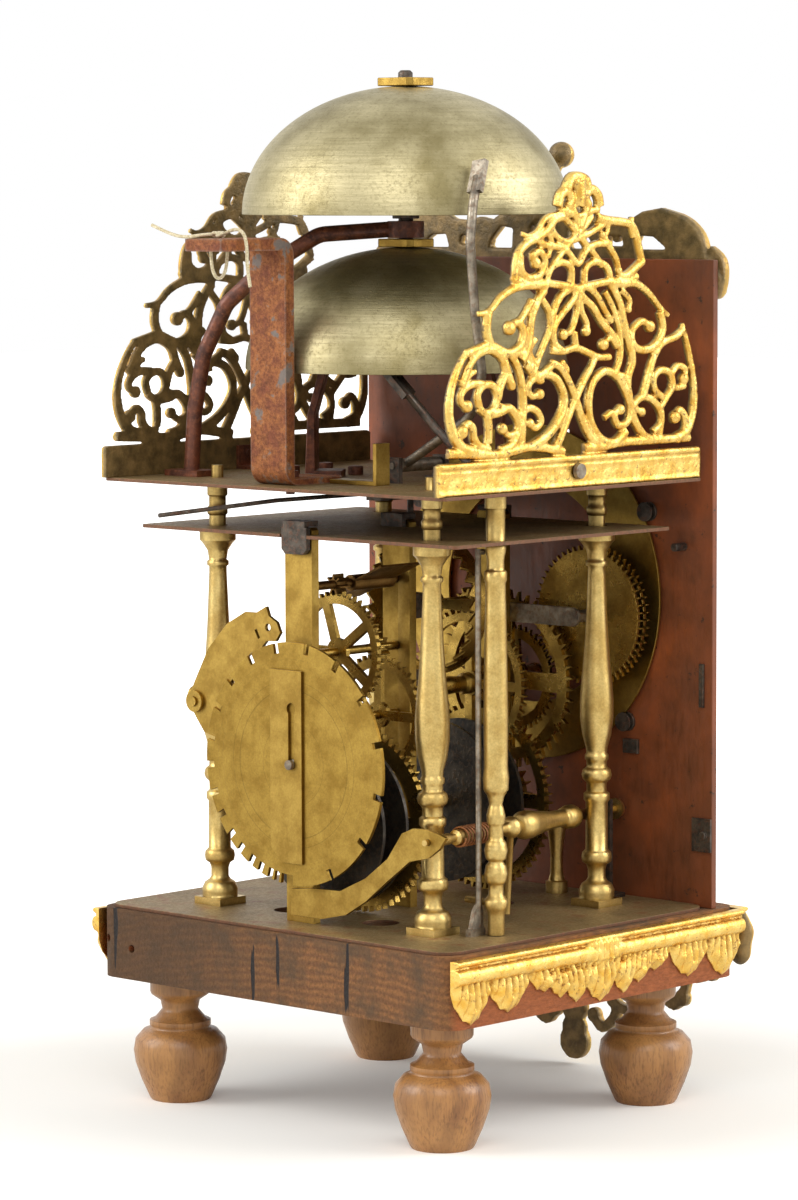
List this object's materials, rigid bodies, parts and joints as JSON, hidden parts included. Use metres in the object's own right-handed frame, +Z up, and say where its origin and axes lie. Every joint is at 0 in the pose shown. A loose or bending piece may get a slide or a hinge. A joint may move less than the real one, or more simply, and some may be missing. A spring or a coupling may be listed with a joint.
{
  "type": "posted frame clock movement",
  "caption": "Stoelklok movement on its stool: brass pillars between iron plates, two weight trains, stacked bells with hammers, gilt frets, dial, turned feet.",
  "frame": {"origin": "on the floor under the middle of the outline, the string left out", "axes": "+Z up; -Y towards the dial side; +X to the right seen from the dial"},
  "size_m": [0.2094, 0.239, 0.4258],
  "materials": {
    "board_wood": "rough aged end grain",
    "foot_wood": "satin turned walnut",
    "gilt_wood": "worn water gilding over dark ground",
    "gilt_metal": "bright gilding, dark on the back",
    "sheet_iron": "dusty grey-brown sheet iron",
    "brass": "aged turned brass",
    "wheel_brass": "aged brass with scratches",
    "dark_iron": "dark worn iron",
    "rusty_iron": "red-brown rusted iron",
    "drum_dark": "blackened iron",
    "bell_metal": "olive-grey bell metal with lathe lines",
    "dial_paint": "red-oxide paint over iron",
    "spring_wire": "rusty iron wire",
    "string": "cream twisted string"
  },
  "bodies": {
    "frame": {"stool_board": "board_wood", "stool_feet": "foot_wood", "left_moulding": "gilt_wood", "right_moulding": "gilt_wood", "front_moulding": "gilt_wood", "front_apron": "gilt_wood", "base_plate": "sheet_iron", "lower_top_plate": "sheet_iron", "upper_top_plate": "sheet_iron", "pillars": "brass", "rear_bar": "brass", "middle_bar": "brass", "front_bar": "brass", "bar_latches": "dark_iron", "dial_plate": "dial_paint", "chapter_ring": "wheel_brass", "dial_fixings": "dark_iron", "front_crest": "gilt_metal", "left_fret": "gilt_metal", "right_fret": "gilt_metal", "fret_tabs": "dark_iron", "bell_stand": "rusty_iron", "bell_stud": "dark_iron", "lower_bell": "bell_metal", "upper_bell": "bell_metal", "bell_nuts": "dark_iron", "upper_bell_stay": "rusty_iron", "pendulum_bracket": "rusty_iron", "deck_fittings": "dark_iron", "verge_carriers": "dark_iron", "wheel_studs": "wheel_brass", "detent_stud": "brass", "striking_cock": "brass", "iron_cocks": "dark_iron", "front_post": "brass", "hammer_spring": "dark_iron", "string_loop": "string", "string_tails": "string"},
    "going_great": {"going_great_wheel": "wheel_brass", "going_drum": "drum_dark"},
    "minute": {"minute_wheel": "wheel_brass", "minute_hand": "wheel_brass"},
    "crown": {"crown_wheel": "wheel_brass"},
    "hour": {"hour_wheel": "wheel_brass", "hour_hand": "wheel_brass"},
    "date_pair": {"date_wheels": "wheel_brass"},
    "date_disc": {"date_ring": "wheel_brass"},
    "strike_great": {"strike_great_wheel": "wheel_brass", "strike_drum": "drum_dark"},
    "strike_second": {"strike_second_wheel": "wheel_brass"},
    "strike_third": {"strike_third_wheel": "wheel_brass"},
    "fly_vane": {"fly": "wheel_brass"},
    "count": {"count_wheel": "wheel_brass", "keyhole_strip": "wheel_brass"},
    "verge_staff": {"verge": "dark_iron"},
    "detent": {"count_detent": "wheel_brass"},
    "release": {"release_arbor": "wheel_brass", "release_coil": "spring_wire"},
    "lower_hammer": {"hammer_arbor": "brass"},
    "high_hammer": {"upper_hammer": "dark_iron"}
  },
  "joints": [
    {"name": "minute_turn", "type": "hinge", "parent": "frame", "child": "minute", "pos_m": [0, -0.05005, 0.1714], "axis": [0, 1, 0], "continuous": true},
    {"name": "great_turn", "type": "hinge", "parent": "frame", "child": "going_great", "pos_m": [0, -0.05655, 0.1234], "axis": [0, 1, 0], "continuous": true},
    {"name": "crown_turn", "type": "hinge", "parent": "frame", "child": "crown", "pos_m": [0, -0.05005, 0.2066], "axis": [0, 1, 0], "continuous": true},
    {"name": "hour_turn", "type": "hinge", "parent": "frame", "child": "hour", "pos_m": [0, -0.07305, 0.1714], "axis": [0, 1, 0], "continuous": true},
    {"name": "date_pair_turn", "type": "hinge", "parent": "frame", "child": "date_pair", "pos_m": [-0.04137, -0.07805, 0.20037], "axis": [0, 1, 0], "continuous": true},
    {"name": "date_ring_turn", "type": "hinge", "parent": "frame", "child": "date_disc", "pos_m": [0, -0.08915, 0.2074], "axis": [0, 1, 0], "continuous": true},
    {"name": "strike_third_turn", "type": "hinge", "parent": "frame", "child": "strike_third", "pos_m": [0, 0.02945, 0.19073], "axis": [0, 1, 0], "continuous": true},
    {"name": "strike_second_turn", "type": "hinge", "parent": "frame", "child": "strike_second", "pos_m": [0, 0.00545, 0.1629], "axis": [0, 1, 0], "continuous": true},
    {"name": "strike_great_turn", "type": "hinge", "parent": "frame", "child": "strike_great", "pos_m": [0, 0.01645, 0.1209], "axis": [0, 1, 0], "continuous": true},
    {"name": "fly_turn", "type": "hinge", "parent": "frame", "child": "fly_vane", "pos_m": [0, 0.01045, 0.21823], "axis": [0, 1, 0], "continuous": true},
    {"name": "count_turn", "type": "hinge", "parent": "frame", "child": "count", "pos_m": [-0.003, 0.05845, 0.14761], "axis": [0, 1, 0], "continuous": true},
    {"name": "verge_swing", "type": "hinge", "parent": "frame", "child": "verge_staff", "pos_m": [0, -0.01375, 0.2066], "axis": [0, 0, 1], "range_deg": [-12, 12]},
    {"name": "detent_lift", "type": "hinge", "parent": "frame", "child": "detent", "pos_m": [0.057, 0.05365, 0.1684], "axis": [0, 1, 0], "range_deg": [0, 8]},
    {"name": "release_turn", "type": "hinge", "parent": "frame", "child": "release", "pos_m": [-0.071, 0.04845, 0.1219], "axis": [0.1655, -0.986, -0.0216], "range_deg": [0, 14], "stiffness_Nm_per_rad": 0.02, "springref_deg": -11.46},
    {"name": "lower_hammer_swing", "type": "hinge", "parent": "frame", "child": "lower_hammer", "pos_m": [-0.0805, 0.02365, 0.2596], "axis": [0, 0, 1], "range_deg": [-18, 1.5], "stiffness_Nm_per_rad": 0.05},
    {"name": "upper_hammer_swing", "type": "hinge", "parent": "frame", "child": "high_hammer", "pos_m": [-0.022, 0.00295, 0.2666], "axis": [0, 1, 0], "range_deg": [-7, 1.3], "stiffness_Nm_per_rad": 0.05}
  ],
  "couplings": [
    {"joint": "great_turn", "follows": "minute_turn", "ratio": -0.25},
    {"joint": "crown_turn", "follows": "minute_turn", "ratio": -7},
    {"joint": "hour_turn", "follows": "minute_turn", "ratio": 0.083333},
    {"joint": "date_pair_turn", "follows": "minute_turn", "ratio": -0.064327},
    {"joint": "strike_second_turn", "follows": "strike_third_turn", "ratio": -0.15217},
    {"joint": "strike_great_turn", "follows": "strike_third_turn", "ratio": 0.019635},
    {"joint": "fly_turn", "follows": "strike_third_turn", "ratio": -6.8571},
    {"joint": "count_turn", "follows": "strike_third_turn", "ratio": -0.0015104}
  ]
}
